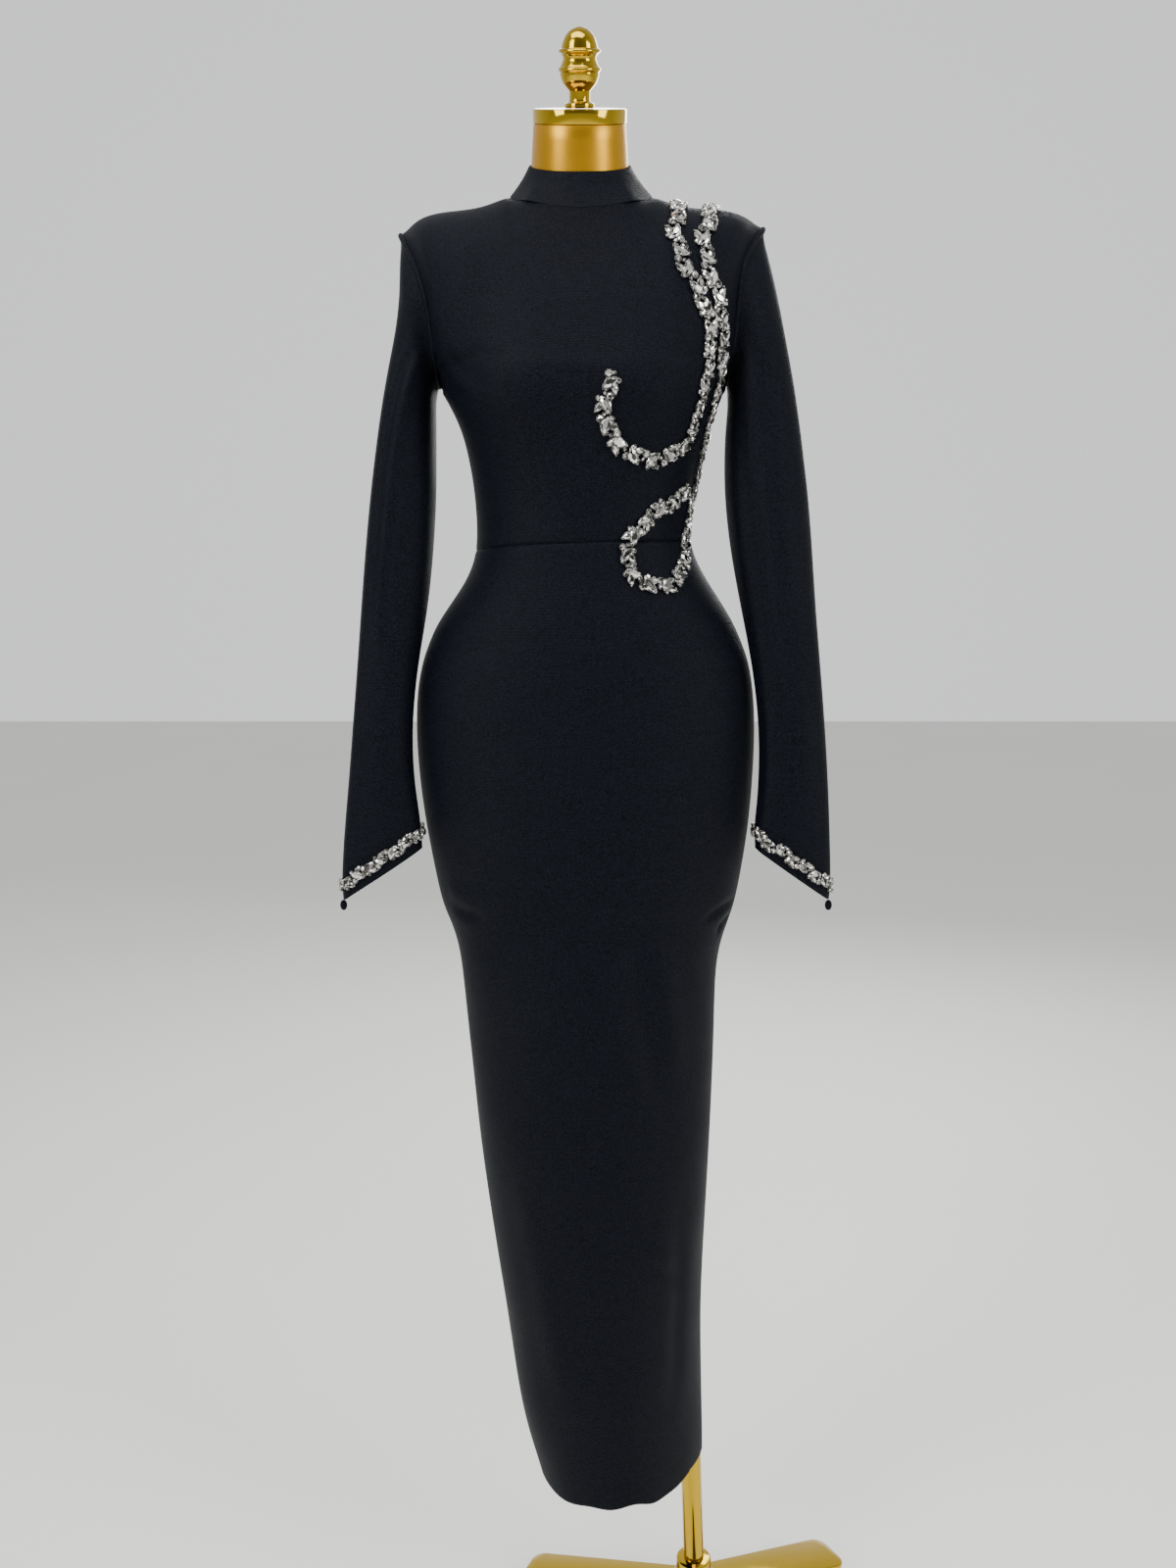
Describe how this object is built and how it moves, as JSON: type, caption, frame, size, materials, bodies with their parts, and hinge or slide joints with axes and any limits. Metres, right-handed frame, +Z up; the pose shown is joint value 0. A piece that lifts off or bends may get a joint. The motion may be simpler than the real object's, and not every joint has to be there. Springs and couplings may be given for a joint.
{
  "type": "bodycon dress on a limbless dress form",
  "caption": "Black long-sleeved mock-neck bodycon maxi dress with crystal trims, on a gold limbless dress form with a three-armed stand.",
  "frame": {"origin": "bottom centre of the whole, on the floor between the feet", "axes": "+Z up the form, -Y out of the dress's front, +X to the viewer's right from the front"},
  "size_m": [0.5629, 0.3367, 1.6991],
  "materials": {
    "knit": "matte",
    "form_gold": "satin",
    "neck_gold": "satin",
    "cap_gold": "polished",
    "stand_gold": "polished",
    "crystal": "polished",
    "zip_metal": "satin",
    "zip_coil": "matte",
    "foot_rubber": "matte"
  },
  "bodies": {
    "root": {"collar": "knit", "bodice_front": "knit", "bodice_back_left": "knit", "bodice_back_right": "knit", "sleeve_left": "knit", "sleeve_right": "knit", "skirt_front": "knit", "skirt_back_left": "knit", "skirt_back_right": "knit", "cuff_knob_left": "knit", "cuff_knob_right": "knit", "trim_bust": "crystal", "trim_side": "crystal", "trim_cuff_left": "crystal", "trim_cuff_right": "crystal", "form_torso": "form_gold", "neck_block": "neck_gold", "neck_cap": "cap_gold", "finial": "cap_gold", "pole_socket": "stand_gold", "pole": "stand_gold", "hub": "stand_gold", "arm_1": "stand_gold", "arm_2": "stand_gold", "arm_3": "stand_gold", "foot_1": "foot_rubber", "foot_2": "foot_rubber", "foot_3": "foot_rubber", "zip_coil": "zip_coil", "zip_slider": "zip_metal"},
    "zip_pull": {"zip_pull": "zip_metal"}
  },
  "joints": [
    {"name": "zip_pull_swing", "type": "hinge", "parent": "root", "child": "zip_pull", "pos_m": [-0.03666, 0.07154, 1.60859], "axis": [1, 0, 0], "range_deg": [0, 150]}
  ]
}
